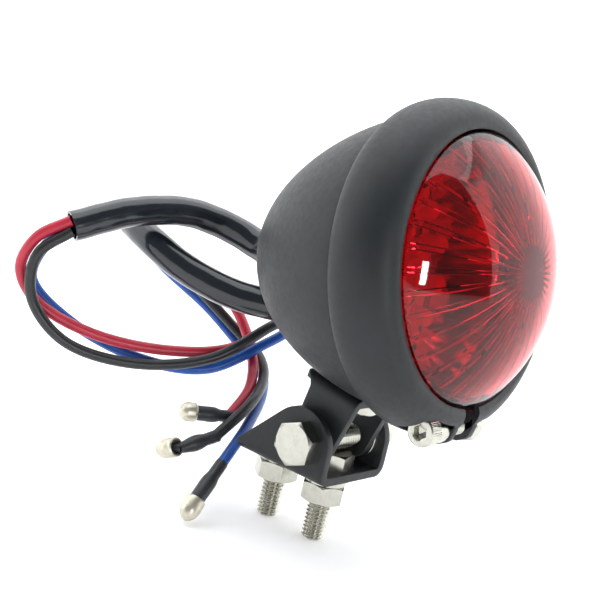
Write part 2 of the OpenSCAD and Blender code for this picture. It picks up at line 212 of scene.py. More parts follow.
MATERIALS = {
    "black_coat": powder_coat("black_coat_mat", (0.0105, 0.0128, 0.0143), (0.0148, 0.0178, 0.0198), 0.5),
    "stainless": steel("stainless_mat", (0.56, 0.55, 0.49), (0.5, 0.49, 0.43), 0.2),
    "black_rubber": plastic("rubber_mat", (0.012, 0.012, 0.013), (0.02, 0.02, 0.022), 0.6, 0.3, 0.02),
    "reflector_chrome": steel("chrome_mat", (0.96, 0.96, 0.97), (0.9, 0.9, 0.92), 0.16),
    "board": plastic("board_mat", (0.8, 0.8, 0.78), (0.9, 0.9, 0.88), 0.4, 0.4, 0.01),
    "led_clear": plastic("led_mat", (0.95, 0.6, 0.55), (0.98, 0.75, 0.7), 0.12, 0.8, 0.005),
    "chip_black": plastic("chip_mat", (0.015, 0.015, 0.017), (0.03, 0.03, 0.03), 0.45, 0.2, 0.01),
    "sleeve_vinyl": plastic("vinyl_mat", (0.009, 0.013, 0.018), (0.015, 0.02, 0.027), 0.17, 2.2, 0.12, 0.05,
                            Coat_Weight=0.4, Coat_Roughness=0.06),
    "wire_red": plastic("wire_red_mat", (0.52, 0.018, 0.045), (0.6, 0.026, 0.06), 0.36, 0.5, 0.012),
    "wire_black": plastic("wire_black_mat", (0.012, 0.013, 0.015), (0.022, 0.023, 0.026), 0.36, 0.5, 0.012),
    "wire_blue": plastic("wire_blue_mat", (0.008, 0.075, 0.36), (0.012, 0.1, 0.46), 0.36, 0.5, 0.012),
    "shrink_black": plastic("shrink_mat", (0.022, 0.023, 0.027), (0.035, 0.036, 0.042), 0.42, 0.7, 0.05),
    "terminal_metal": steel("terminal_mat", (0.74, 0.7, 0.58), (0.6, 0.56, 0.46), 0.42),
}


def lens_material():
    f = Finish("lens_mat", Transmission_Weight=1.0, IOR=1.45, Specular_IOR_Level=0.26,
               Base_Color=(0.58, 0.006, 0.015))
    f.rough(f.spread(f.noise(3, 3), 0.01, 0.035))
    f.bump(f.noise(2.5, 2), 0.004, 0.2)
    return f.mat


MATERIALS["red_lens"] = lens_material()


# ------------------------------------------------------------------ mesh helpers
def piece(name, verts, faces, place, body, slot, swaps=(), sharp=32, bevel=0.0, clean=True):
    """Makes one object from points in millimetres in the local frame `place`, rides it and dresses it."""
    me = bpy.data.meshes.new(name)
    me.from_pydata([tuple((place @ Vector(v)) * MM) for v in verts], [], faces)
    bm = bmesh.new()
    bm.from_mesh(me)
    if clean:
        bmesh.ops.remove_doubles(bm, verts=bm.verts, dist=1e-7)
        bmesh.ops.dissolve_degenerate(bm, edges=bm.edges, dist=1e-8)
    bmesh.ops.recalc_face_normals(bm, faces=bm.faces)
    bm.to_mesh(me)
    bm.free()
    me.materials.append(MATERIALS[slot])
    ob = bpy.data.objects.new(name, me)
    bpy.context.scene.collection.objects.link(ob)
    if bevel:
        mod = ob.modifiers.new("edge", "BEVEL")
        mod.width = bevel * MM
        mod.segments = 2
        mod.limit_method = "ANGLE"
        mod.angle_limit = math.radians(38)
        mod.harden_normals = False
        apply_modifiers(ob)
    smooth(ob, sharp)
    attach(ob, body)
    if swaps:
        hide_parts(*swaps)
    return ob


def smooth(ob, sharp):
    for p in ob.data.polygons:
        p.use_smooth = True
    ob.data.set_sharp_from_angle(angle=math.radians(sharp))


def apply_modifiers(ob):
    deps = bpy.context.evaluated_depsgraph_get()
    deps.update()
    new = bpy.data.meshes.new_from_object(ob.evaluated_get(deps))
    ob.modifiers.clear()
    old = ob.data
    ob.data = new
    bpy.data.meshes.remove(old)


class Build:
    """Collects points and faces of several shapes that make up one piece."""

    def __init__(self):
        self.v, self.f = [], []

    def add(self, verts, faces, place=None):
        n = len(self.v)
        self.v += [place @ Vector(v) if place else Vector(v) for v in verts]
        self.f += [[i + n for i in f] for f in faces]
        return self

    def done(self, name, place, body, slot, swaps=(), **extra):
        return piece(name, self.v, self.f, place, body, slot, swaps, **extra)


def lathe(profile, n=64, start=0.0, stop=TAU):
    """Turns (radius, height) pairs round z. The profile is closed, or has both ends on the axis."""
    verts, rings = [], []
    for r, z in profile:
        if r < 1e-6:
            rings.append([len(verts)] * n)
            verts.append((0, 0, z))
        else:
            rings.append(list(range(len(verts), len(verts) + n)))
            verts += [(r * math.cos(a), r * math.sin(a), z) for a in (start + (stop - start) * k / n for k in range(n))]
    on_axis = profile[0][0] < 1e-6 and profile[-1][0] < 1e-6
    faces = []
    for i in range(len(profile) - (1 if on_axis else 0)):
        a, b = rings[i], rings[(i + 1) % len(profile)]
        for k in range(n):
            m = (k + 1) % n
            quad = [a[k], a[m], b[m], b[k]]
            quad = [q for j, q in enumerate(quad) if q != quad[j - 1]]
            if len(quad) > 2:
                faces.append(quad)
    return verts, faces


def grid(rows, closed_rows=False, closed_columns=False):
    """Quads between rows of equally many points."""
    n = len(rows[0])
    verts = [p for row in rows for p in row]
    faces = []
    for i in range(len(rows) - (0 if closed_rows else 1)):
        j = (i + 1) % len(rows)
        for k in range(n - (0 if closed_columns else 1)):
            m = (k + 1) % n
            faces.append([i * n + k, i * n + m, j * n + m, j * n + k])
    return verts, faces


def hexagon(r, turn=0.0, per_side=8):
    """Points round a hexagon of corner radius r, as (x, y, distance from the middle)."""
    out = []
    corners = [(r * math.cos(math.radians(turn + 60 * i)), r * math.sin(math.radians(turn + 60 * i))) for i in range(6)]
    for i in range(6):
        (x0, y0), (x1, y1) = corners[i], corners[(i + 1) % 6]
        for k in range(per_side):
            t = k / per_side
            x, y = x0 + (x1 - x0) * t, y0 + (y1 - y0) * t
            out.append((x, y, math.hypot(x, y)))
    return out


def hex_body(r, z0, z1, bore=0.0, turn=0.0, chamfer=(False, True), dish=0.0):
    """Hexagon from z0 to z1 with 30 degree corner chamfers, a bore, or a slightly dished face."""
    out = hexagon(r, turn)
    flat_r = r * math.cos(math.pi / 6) * 0.97
    slope = math.tan(math.radians(28))

    def circle(rad, z):
        return [(rad * x / d, rad * y / d, z) for x, y, d in out]

    def cut(d):
        return max(0.0, (d - flat_r) * slope)

    rows = [circle(bore or 0.01, z0)]
    if chamfer[0]:
        rows += [circle(flat_r, z0), [(x, y, z0 + cut(d)) for x, y, d in out]]
    else:
        rows += [[(x, y, z0) for x, y, d in out]]
    if chamfer[1]:
        rows += [[(x, y, z1 - cut(d)) for x, y, d in out], circle(flat_r, z1)]
    else:
        rows += [[(x, y, z1) for x, y, d in out]]
    if dish:
        rows += [circle(flat_r - 0.5, z1 - dish)]
    if bore:
        rows += [circle(bore + 0.35, z1 - (dish or 0)), circle(bore, z1 - 0.35 - dish)]
    else:
        rows += [circle(0.01, z1 - dish)]
    return grid(rows, closed_rows=bool(bore), closed_columns=True) if bore else capped(rows)


def capped(rows):
    """A grid closed round, with its first and last rows filled."""
    n = len(rows[0])
    verts, faces = grid(rows, closed_columns=True)
    faces.append(list(range(n - 1, -1, -1)))
    faces.append(list(range((len(rows) - 1) * n, len(rows) * n)))
    return verts, faces


def screw_thread(r, z0, z1, pitch, n=40, depth=None, tip=0.0):
    """Threaded rod from z0 to z1; its lower end z0 has a chamfer of height tip."""
    depth = depth or 0.58 * pitch
    steps = max(2, round((z1 - z0) / pitch * 10))
    rows = []
    for i in range(steps + 1):
        z = z0 + (z1 - z0) * i / steps
        row = []
        for k in range(n):
            phase = (z / pitch - k / n) % 1.0
            wave = min(1.0, max(0.0, abs(2 * phase - 1) * 1.25 - 0.1))
            rad = r - depth * (1 - wave)
            if tip:
                rad = min(rad, r - 0.8 + max(0.0, (z - z0)) * 0.8 / tip)
            row.append((rad * math.cos(TAU * k / n), rad * math.sin(TAU * k / n), z))
        rows.append(row)
    return capped(rows)


# ------------------------------------------------------------------ cords
def spline(points, spacing):
    """Evenly spaced points on a centripetal Catmull-Rom curve through points."""
    p = [Vector(q) for q in points]
    p = [2 * p[0] - p[1]] + p + [2 * p[-1] - p[-2]]
    fine = []
    for i in range(1, len(p) - 2):
        a, b, c, d = p[i - 1:i + 3]
        t0 = 0.0
        t1 = t0 + (b - a).length ** 0.5
        t2 = t1 + (c - b).length ** 0.5
        t3 = t2 + (d - c).length ** 0.5
        for k in range(24):
            t = t1 + (t2 - t1) * k / 24
            a1 = a * (t1 - t) / (t1 - t0) + b * (t - t0) / (t1 - t0)
            a2 = b * (t2 - t) / (t2 - t1) + c * (t - t1) / (t2 - t1)
            a3 = c * (t3 - t) / (t3 - t2) + d * (t - t2) / (t3 - t2)
            b1 = a1 * (t2 - t) / (t2 - t0) + a2 * (t - t0) / (t2 - t0)
            b2 = a2 * (t3 - t) / (t3 - t1) + a3 * (t - t1) / (t3 - t1)
            fine.append(b1 * (t2 - t) / (t2 - t1) + b2 * (t - t1) / (t2 - t1))
    fine.append(p[-2])
    return resample(fine, spacing)


def resample(fine, spacing):
    run = [0.0]
    for a, b in zip(fine, fine[1:]):
        run.append(run[-1] + (b - a).length)
    count = max(2, round(run[-1] / spacing))
    out, j = [], 0
    for i in range(count + 1):
        s = run[-1] * i / count
        while j < len(run) - 2 and run[j + 1] < s:
            j += 1
        t = (s - run[j]) / max(1e-9, run[j + 1] - run[j])
        out.append(fine[j].lerp(fine[j + 1], min(1, max(0, t))))
    return out


def length(path):
    return sum((b - a).length for a, b in zip(path, path[1:]))


def frames(path):
    """Tangent and two steady cross directions at each point."""
    out = []
    n = None
    for i, p in enumerate(path):
        t = (path[min(i + 1, len(path) - 1)] - path[max(i - 1, 0)]).normalized()
        n = Vector((0.3, 0.5, 1.0)) if n is None else n
        n = (n - t * n.dot(t)).normalized()
        out.append((p, t, n, t.cross(n)))
    return out


def swept(path, radius, n=16, ripple=None):
    """A ring of n points round each point of path. radius is a number or a list."""
    rows = []
    for i, (p, t, a, b) in enumerate(frames(path)):
        r = radius[i] if isinstance(radius, list) else radius
        rows.append([p + (r + (ripple(i, TAU * k / n) if ripple else 0)) * (math.cos(TAU * k / n) * a + math.sin(TAU * k / n) * b)
                     for k in range(n)])
    return rows


ROUTES = {
    "cable_sleeve": [(7.5, 21, 45.5), (10.5, 30.5, 43.5), (11, 39, 45), (7, 46.5, 47.5), (-2.5, 53, 49.5), (-16, 59, 47.5), (-30, 65.5, 41.5)],
    "tail_sleeve": [(12, 24, 31.5), (4.5, 37.5, 31.5), (-2.5, 50, 35), (-6, 60, 39.5), (-4.5, 70, 42)],
    "black_wire": [(-30.5, 64.5, 40.5), (-36, 69.5, 33), (-35, 70, 21.5), (-27.5, 63.5, 11.5), (-13, 51.5, 8.5), (3, 38.5, 13.5), (16.5, 32, 24), (28, 30, 28.5), (31, 23, 31.5), (26.5, 17, 34.5), (17.5, 16.5, 33.5), (11.5, 23, 30.5)],
    "red_wire": [(-30.5, 65.5, 43), (-36, 71, 37), (-36.5, 74.5, 28), (-32, 71.5, 20), (-20.5, 61.5, 14), (-4, 49, 12.5), (10.5, 39.5, 15.5), (24, 36, 23.5), (36.5, 32.5, 29.5), (39.5, 25, 33), (35, 17.5, 35.5), (24.5, 13, 37), (16, 15.5, 36), (11.5, 24, 33)],
    "blue_wire": [(-29, 67, 41), (-33, 71, 34.5), (-32, 74.5, 25), (-23.5, 68.5, 16), (-9, 54, 9), (4.5, 41, 9.5), (18, 33, 19), (31.5, 29.5, 26.5), (35, 22, 30), (30.5, 16, 32.5), (21.5, 17.5, 32.5), (13.5, 25, 31.5)],
    "red_tail": [(-4.5, 69.5, 44), (0, 77, 44.5), (6.5, 78, 42.5), (11, 75, 37), (16.5, 62.5, 31.5), (18.5, 48.5, 25), (16.5, 37, 15), (8.5, 28.5, 8.5), (-3.5, 23.5, 3)],
    "black_tail": [(-3, 70, 41.5), (0, 75.5, 42), (5, 76.5, 40), (8.5, 72.5, 35.5), (13.5, 61, 28), (19, 47.5, 19), (20, 37.5, 14), (14.5, 29.5, 11), (2.5, 22, 7), (-12, 19.5, 0)],
    "blue_tail": [(-5.5, 70.5, 41.5), (-2.5, 77, 42), (2, 79.5, 40), (7, 78, 36), (11.5, 70.5, 29.5), (18, 57, 21.5), (21.5, 44.5, 13.5), (20.5, 35.5, 10), (13, 27.5, 6.5), (-0.5, 19.5, 1.5), (-15, 13.5, -5)],
}
# wire end, end of the shrink tube, tip of the terminal
ENDS = {
    "red": [(-3.5, 23.5, 3), (-11, 28.25, 3), (-14.75, 30.75, 3)],
    "black": [(-12, 19.5, 0), (-20.5, 22.75, -3.5), (-21.25, 23.25, -3.25), (-21.25, 29.25, -6.25)],
    "blue": [(-15, 13.5, -5), (-23.25, 11.75, -12), (-27.25, 11, -16.5)],
}
SLEEVE_R, SLEEVE_BORE, WIRE_R = 4.1, 3.45, 1.45


def cord(name, slot, diameter, exit_at, far_end, stiffness, lay, ob, path, **extra):
    [tuple(q * MM) for q in resample(path, length(path) / 30)]


def sleeve(name, exit_at, far_end):
    path = spline(ROUTES[name], 1.0)
    n, last = 28, len(path) - 1

    def folds(i, a):
        # soft vinyl: slightly oval, with a few shallow folds across the bends
        return 0.1 * math.cos(2 * a + i * 0.05) + 0.05 * math.sin(i * 0.9) * math.cos(a - 1.0) - 0.08

    outer = swept(path, SLEEVE_R, n, folds)
    inner = swept(path, SLEEVE_BORE, n, lambda i, a: 0.1 * math.cos(2 * a + i * 0.05) - 0.05)
    rows = [inner[0]] + outer + inner[::-1]
    verts, faces = grid(rows, closed_columns=True)
    ob = piece(name, verts, faces, BASE, "lamp", "sleeve_vinyl", [name], sharp=50)
    cord(name, "sleeve_vinyl", 2 * SLEEVE_R, exit_at, far_end, "medium", "loose", ob, path)
    return ob


def wire(name, slot, exit_at, far_end, **extra):
    path = spline(ROUTES[name], 0.8)
    verts, faces = capped(swept(path, WIRE_R, 16))
    ob = piece(name, verts, faces, BASE, "lamp", slot, [name], sharp=50)
    cord(name, slot, 2 * WIRE_R, exit_at, far_end, "medium", "loose", ob, path, **extra)
    return ob


def place_along(a, b):
    """Frame at a with z towards b."""
    z = (Vector(b) - Vector(a)).normalized()
    m = z.to_track_quat("Z", "Y").to_matrix().to_4x4()
    m.translation = Vector(a)
    return m


def shrink_tube(colour):
    a, b = (Vector(q) for q in ENDS[colour][:2])
    t = (b - a).length
    profile = [(0, -0.8), (1.52, -0.8), (1.6, -0.6), (1.58, 0.3 * t), (1.75, 0.38 * t), (1.98, 0.46 * t), (2.0, 0.6 * t)]
    if colour == "black":                            # narrows to a neck
        profile += [(1.9, 0.7 * t), (1.6, 0.85 * t), (1.3, 0.97 * t), (1.15, t), (0, t)]
    else:
        profile += [(1.93, 0.8 * t), (1.98, 0.93 * t), (1.9, t), (0, t)]
    verts, faces = lathe(profile, 24)
    verts = [(x * (1 + 0.02 * math.sin(z * 2.3)), y * (1 - 0.015 * math.sin(z * 3.1)), z) for x, y, z in verts]
    b = Build()
    b.add(verts, faces, place_along(a, ENDS[colour][1]))
    if colour == "black":
        mouth = Vector(ENDS[colour][2])
        inside = mouth + 0.2 * (Vector(ENDS[colour][3]) - mouth)
        near = a + 0.97 * (Vector(ENDS[colour][1]) - a)
        b.add(*lathe([(0, 0), (1.18, 0), (1.0, (inside - near).length), (0, (inside - near).length)], 20), place_along(near, inside))
    return b.done(colour + "_shrink_tube", BASE, "lamp", "shrink_black", [colour + "_shrink"], sharp=50)


def bullet_terminal(colour):
    a, tip = (Vector(q) for q in ENDS[colour][-2:])
    t = (tip - a).length
    nose = [(2.5, 0.5 * t), (2.4, 0.62 * t), (2.1, 0.75 * t), (1.6, 0.87 * t), (1.0, 0.96 * t), (0.4, t), (0, t)]
    if colour == "black":                            # open mouth with a rolled ring
        profile = [(0, 0.32 * t), (1.15, 0.3 * t), (1.6, 0.12 * t), (1.85, 0), (2.2, -0.08), (2.48, 0.15), (2.5, 0.7), (2.3, 1.0), (2.3, 1.2), (2.5, 1.5)] + nose
    else:
        profile = [(0, 0), (2.2, 0), (2.45, 0.25), (2.5, 0.7)] + nose
    verts, faces = lathe(profile, 28)
    return piece(colour + "_bullet_terminal", verts, faces, place_along(a, tip), "lamp", "terminal_metal", [colour + "_terminal"], sharp=40)


GROMMET_FACE = tuple(GROMMET @ Vector((0, 0, 6.4)))
sleeve("cable_sleeve", GROMMET_FACE, "bare")
MOUTH_1 = ROUTES["cable_sleeve"][-1]
for colour in ("red", "black", "blue"):
    wire(colour + "_wire", "wire_" + colour, MOUTH_1, "object")
sleeve("tail_sleeve", ROUTES["tail_sleeve"][0], "bare")
MOUTH_2 = ROUTES["tail_sleeve"][-1]
for colour in ("red", "black", "blue"):
    ends = [shrink_tube(colour), bullet_terminal(colour)]
    wire(colour + "_tail", "wire_" + colour, MOUTH_2, "connector", with_pieces=ends)

# ------------------------------------------------------------------ housing and visor rim
RIM_R, LIP_R, RIM_D, SHELL_R, SHELL_L, SHELL_S, WALL = 38.2, 31.2, 16.2, 34.5, 43.0, 15.8, 1.6


def bullet(s, r0, l):
    return r0 * math.sqrt(max(0.0, 1 - max(0.0, (s - SHELL_S) / l) ** 1.5))


def bulge(t, m):
    """Rim outline at t degrees from the lip to the crease, m inside the skin."""
    a = math.radians(t)
    return (LIP_R + 0.6 + (SHELL_R - 0.2 - LIP_R - 0.6) * t / 180 + (RIM_R - (LIP_R + SHELL_R + 0.4) / 2) * math.sin(a) ** 0.85
            - m * math.sin(a), RIM_D / 2 * (1 - math.cos(a)) + m * math.cos(a))


def housing():
    outer = [(bullet(s, SHELL_R, SHELL_L), s) for s in (SHELL_S + SHELL_L * (1 - (1 - i / 40) ** 2) for i in range(40, -1, -1))]
    inner = [(bullet(s, SHELL_R - WALL, SHELL_L - WALL), s)
             for s in (SHELL_S + (SHELL_L - WALL) * (1 - (1 - i / 20) ** 2) for i in range(21))]
    profile = outer + [(SHELL_R, 15.2), (35.1, 15.2), (35.3, 15.0), (35.3, 13.6), (32.7, 13.6)] + inner[:-1] + [(0, SHELL_S + SHELL_L - WALL)]
    profile[0] = (0, SHELL_S + SHELL_L)
    verts, faces = lathe(profile, 160)
    return piece("bullet_shell", verts, faces, AXIS, "lamp", "black_coat", ["housing"], sharp=40)


def visor_rim():
    half_gap, n = 3.0, 220
    outer = [bulge(t, 0) for t in range(4, 173, 6)]
    profile = ([(LIP_R, 0.9), (LIP_R + 0.15, 0.35)] + outer + [(35.2, 16.0), (SHELL_R, RIM_D - 0.1), (SHELL_R, 15.2), (35.5, 15.2)]
               + [bulge(t, 1.3) for t in range(155, 100, -8)] + [(36.4, 10), (34, 10), (34, 8.8), (36.8, 8.8)]
               + [bulge(t, 1.3) for t in range(90, 5, -8)] + [(LIP_R, 1.5)])
    rows = []
    for r, s in profile:
        first = math.asin(half_gap / r)
        rows.append([(r * math.sin(a), r * math.cos(a), s) for a in (first + (TAU - 2 * first) * k / n for k in range(n + 1))])
    verts, faces = grid(rows, closed_rows=True)
    m = len(profile)
    faces.append([i * (n + 1) for i in range(m)])
    faces.append([i * (n + 1) + n for i in range(m - 1, -1, -1)])
    ob = piece("split_visor_rim", verts, faces, AXIS, "lamp", "black_coat", ["visor_rim"], sharp=40)
    # room for the screw head, spacer and nut beside the split, then the two clamp tabs
    cutters = [box_object("cut_a", (-15.5, 33.1, 1.3), (-5, 43.1, 9.9), AXIS), box_object("cut_b", (5, 33.1, 1.3), (11, 43.1, 9.9), AXIS)]
    boolean(ob, cutters)
    smooth(ob, 40)
    return ob


def box_object(name, low, high, place):
    (x0, y0, z0), (x1, y1, z1) = low, high
    verts = [(x, y, z) for x in (x0, x1) for y in (y0, y1) for z in (z0, z1)]
    faces = [(0, 1, 3, 2), (4, 6, 7, 5), (0, 4, 5, 1), (2, 3, 7, 6), (0, 2, 6, 4), (1, 5, 7, 3)]
    return raw_object(name, verts, faces, place)


def raw_object(name, verts, faces, place):
    me = bpy.data.meshes.new(name)
    me.from_pydata([tuple((place @ Vector(v)) * MM) for v in verts], [], faces)
    bm = bmesh.new()
    bm.from_mesh(me)
    bmesh.ops.recalc_face_normals(bm, faces=bm.faces)
    bm.to_mesh(me)
    bm.free()
    ob = bpy.data.objects.new(name, me)
    bpy.context.scene.collection.objects.link(ob)
    return ob


def boolean(ob, cutters, operation="DIFFERENCE"):
    for c in cutters:
        mod = ob.modifiers.new("cut", "BOOLEAN")
        mod.operation = operation
        mod.solver = "EXACT"
        mod.object = c
    apply_modifiers(ob)
    for c in cutters:
        bpy.data.objects.remove(c)


def clamp_tabs():
    b = Build()
    outline = [(1.6, 32.5), (9.8, 32.7), (11.2, 35.5), (11.2, 36.3), (10.6, 37.5), (9.4, 38.9), (7.9, 39.5), (6, 39.7), (4.2, 39.2), (3, 38.5), (1.8, 36.3), (1.6, 35.5)]
    for x0, x1 in ((3, 5), (-5, -3)):
        low, high = [(x0, y, s) for s, y in outline], [(x1, y, s) for s, y in outline]
        b.add(*capped([low, high]))
    return b.done("clamp_tabs", AXIS, "lamp", "black_coat", ["visor_rim"], bevel=0.3)


housing()
visor_rim()
clamp_tabs()


# ------------------------------------------------------------------ clamp screw, spacer and nut
def clamp_screw():
    b = Build()
    n, ridges = 192, 48
    knurl = lambda a: 0.07 * (1 if math.cos(a * ridges) > 0 else -1) - 0.07
    rows = []
    for r, z, k in ((0.02, -9.0, 0), (3.2, -8.95, 0), (3.5, -9.15, 1), (3.5, -12.2, 1), (3.42, -12.6, 0), (3.1, -12.88, 0), (2.1, -12.9, 0), (1.95, -12.85, 0)):
        rows.append([((r + k * knurl(TAU * i / n)) * math.cos(TAU * i / n), (r + k * knurl(TAU * i / n)) * math.sin(TAU * i / n), z) for i in range(n)])
    hexa = hexagon(1.85, 30, 32)
    order = [min(range(n), key=lambda j: (hexa[j][0] / hexa[j][2] - math.cos(TAU * i / n)) ** 2 + (hexa[j][1] / hexa[j][2] - math.sin(TAU * i / n)) ** 2) for i in range(n)]
    rows.append([(hexa[j][0], hexa[j][1], -12.75) for j in order])
    rows.append([(hexa[j][0], hexa[j][1], -10.7) for j in order])
    rows.append([(0.02 * math.cos(TAU * i / n), 0.02 * math.sin(TAU * i / n), -10.2) for i in range(n)])
    b.add(*capped(rows))
    b.add(*screw_thread(2.0, -9.2, 10.1, 0.7, 28))
    return b.done("socket_cap_screw", CLAMP, "lamp", "stainless", ["rim_clamp_screw"], sharp=30)


def ring(r0, r1, z0, z1, edge=0.15, n=64):
    return lathe([(r0, z0 + edge), (r0 + edge, z0), (r1 - edge, z0), (r1, z0 + edge), (r1, z1 - edge), (r1 - edge, z1), (r0 + edge, z1), (r0, z1 - edge)], n)


clamp_screw()
Build().add(*ring(2.12, 3.1, -8.9, -5.02, 0.2)).done("clamp_spacer_sleeve", CLAMP, "lamp", "stainless", ["rim_clamp_spacer"])
Build().add(*hex_body(4.04, 5.02, 8.2, bore=1.95, chamfer=(True, True))).done("clamp_hex_nut", CLAMP, "lamp", "stainless", ["rim_clamp_nut"])

# ------------------------------------------------------------------ channels
PLATE = 2.0
STUDS = (-7.6, 7.6)


def hull(points):
    pts = sorted(set(points))

    def half(seq):
        out = []
        for p in seq:
            while len(out) > 1 and (out[-1][0] - out[-2][0]) * (p[1] - out[-2][1]) - (out[-1][1] - out[-2][1]) * (p[0] - out[-2][0]) <= 0:
                out.pop()
            out.append(p)
        return out[:-1]

    return half(pts) + half(pts[::-1])


def span(outline, z):
    """Lowest and highest y of a convex outline of (y, z) points at a height."""
    ys = []
    for (y0, z0), (y1, z1) in zip(outline, outline[1:] + outline[:1]):
        if min(z0, z1) - 1e-9 <= z <= max(z0, z1) + 1e-9:
            t = 0.5 if abs(z1 - z0) < 1e-9 else (z - z0) / (z1 - z0)
            ys += [y0 + (y1 - y0) * t] if abs(z1 - z0) > 1e-9 else [y0, y1]
    return min(ys), max(ys)


def channel(width, far, bend, outline, web_span, up, count=26, columns=12):
    """Bent sheet: cheeks at x = +-width/2 reaching the height far, joined by a web at z = 0 with outer bend radius.
    outline gives the cheeks, web_span(x) the web's y range, and up is +1 when the cheeks point up."""
    stations = []                                     # (x, z, normal x, normal z, low y, high y) on the outer skin
    half = width / 2
    for i in range(count + 1):                        # left cheek, from its end to the bend, closer together at the end
        t = 1 - math.cos(math.pi / 2 * i / count) if i < count else 1.0
        z = far + (bend * up - far) * (1 - math.cos(math.pi / 2 * i / count))
        lo, hi = span(outline, z)
        stations.append((-half, z, -1.0, 0.0, lo, hi))
    for i in range(1, 9):
        a = math.pi / 2 * i / 8
        x, z = -half + bend * (1 - math.cos(a)), up * bend * (1 - math.sin(a))
        lo, hi = span(outline, z) if i < 8 else web_span(x)
        wlo, whi = web_span(x)
        k = i / 8
        stations.append((x, z, -math.cos(a), -up * math.sin(a), lo * (1 - k) + wlo * k, hi * (1 - k) + whi * k))
    for i in range(1, 8):
        x = (-half + bend) * (1 - i / 8 * 2)
        if x > 0:
            break
        lo, hi = web_span(x)
        stations.append((x, 0.0, 0.0, -float(up), lo, hi))
    left = stations
    stations = left + [(-x, z, -nx, nz, lo, hi) for x, z, nx, nz, lo, hi in left[::-1] if x < -1e-6]
    outer, inner = [], []
    for x, z, nx, nz, lo, hi in stations:
        ys = [lo + (hi - lo) * k / columns for k in range(columns + 1)]
        outer.append([(x, y, z) for y in ys])
        inner.append([(x - nx * PLATE, y, z - nz * PLATE) for y in ys])
    rows = [o + i[::-1] for o, i in zip(outer, inner)]
    return capped(rows)


def circle_points(y, z, r, n=96):
    return [(y + r * math.cos(TAU * k / n), z + r * math.sin(TAU * k / n)) for k in range(n)]


def drill(name, r, x0, x1, y, z, place, axis="X", n=48):
    m = move(x0, y, z) @ rot(90, "Y") if axis == "X" else move(x0, y, z)
    verts = [(r * math.cos(TAU * k / n), r * math.sin(TAU * k / n), h) for h in (0, x1 - x0) for k in range(n)]
    faces = [list(range(n - 1, -1, -1)), list(range(n, 2 * n))] + [[k, (k + 1) % n, n + (k + 1) % n, n + k] for k in range(n)]
    return raw_object(name, [m @ Vector(v) for v in verts], faces, place)


EAR, EAR_R = (-6.05, 7.85), 9.0                 # rounded ears of the lower cheeks
SADDLE_SCREWS = (5.2, 12.8)


def lower_channel():
    outline = hull(circle_points(*EAR, EAR_R) + [(-15, 0), (11.9, 0), (12.5, 1.2), (12.2, 2.4), (-15, 4)])
    verts, faces = channel(25.4, EAR[1] + EAR_R, 3.0, outline, lambda x: (-15.0, 11.9), 1)
    ob = piece("base_channel", verts, faces, BASE, "bracket", "black_coat", ["lower_bracket"], bevel=0.25)
    cutters = [drill("pivot_hole", 3.2, -15, 15, PIVOT_Y, PIVOT_Z, BASE)]
    cutters += [drill("stud_hole", 3.2, 0, 4, y, -1, BASE, "Z") for y in STUDS]
    boolean(ob, cutters)
    smooth(ob, 32)
    return ob


def upper_channel():
    hole_y, hole_z = 9.31, -14.3
    outline = hull(circle_points(10, -14, 6.2) + [(1.5, 0), (1.5, -2.2), (15.3, -2.2), (15.3, 0)])
    corner = 2.0

    def web(x):
        edge = max(0.0, abs(x) - (8.5 - corner))
        return 1.5, 17.0 + math.sqrt(max(0.0, corner ** 2 - edge * edge))

    verts, faces = channel(17.0, -20.2, 2.6, outline, web, -1)
    ob = piece("saddle_channel", verts, faces, WEB, "lamp", "black_coat", ["upper_bracket"], bevel=0.25)
    cutters = [drill("pivot_hole", 3.05, -12, 12, hole_y, hole_z, WEB)]
    cutters += [drill("screw_hole", 2.2, 0, 6, y, -5, WEB, "Z") for y in SADDLE_SCREWS]
    boolean(ob, cutters)
    smooth(ob, 32)
    return ob


lower_channel()
upper_channel()

# ------------------------------------------------------------------ fasteners
HEX_R = 5.77


def pivot_bolt():
    b = Build()
    b.add(*hex_body(HEX_R, -4.0, 0.0, turn=8, chamfer=(True, False), dish=0), move(0, 0, -12.7))
    b.add(*screw_thread(3.0, -13.5, 20.0, 1.0, 40))
    return b.done("pivot_hex_bolt", ON_PIVOT, "bracket", "stainless", ["pivot_bolt"], sharp=28)


pivot_bolt()
b = Build()
for low in (8.55, -10.7):
    b.add(*ring(3.2, 6.0, low, low + 2.15, 0.12))
b.done("pivot_spacing_washers", ON_PIVOT, "bracket", "stainless", ["pivot_washers"])
Build().add(*hex_body(HEX_R, 12.7, 17.7, bore=2.7, turn=20, chamfer=(False, True))).done(
    "pivot_hex_nut", ON_PIVOT, "bracket", "stainless", ["pivot_nut"], sharp=28)

b = Build()
for y in STUDS:
    b.add(*hex_body(HEX_R, 2.0, 5.6, turn=12, chamfer=(False, True)), move(0, y, 0))
    b.add(*screw_thread(3.0, -17.6, -7.4, 1.0, 48, tip=0.8), move(0, y, 0))
    b.add(*lathe([(0, -7.5), (2.75, -7.5), (2.75, 2.2), (0, 2.2)], 40), move(0, y, 0))
b.done("mounting_hex_bolts", BASE, "bracket", "stainless", ["mounting_bolts"], sharp=28)
b = Build()
for y in STUDS:
    b.add(*ring(3.2, 6.0, -1.2, 0.0, 0.12), move(0, y, 0))
b.done("flat_washers", BASE, "bracket", "stainless", ["mounting_flat_washers"])


def split_washer():
    """Square section ring with a slanted gap and a slight rise."""
    rows = []
    n = 60
    for k in range(n + 1):
        a = math.radians(5 + 350 * k / n)
        rows.append([(r * math.cos(a), r * math.sin(a), z + 0.12 * (k / n - 0.5)) for r, z in
                     ((3.1, -2.62), (5.1, -2.62), (5.2, -2.5), (5.2, -1.42), (5.1, -1.3), (3.1, -1.3))])
    return capped(rows)


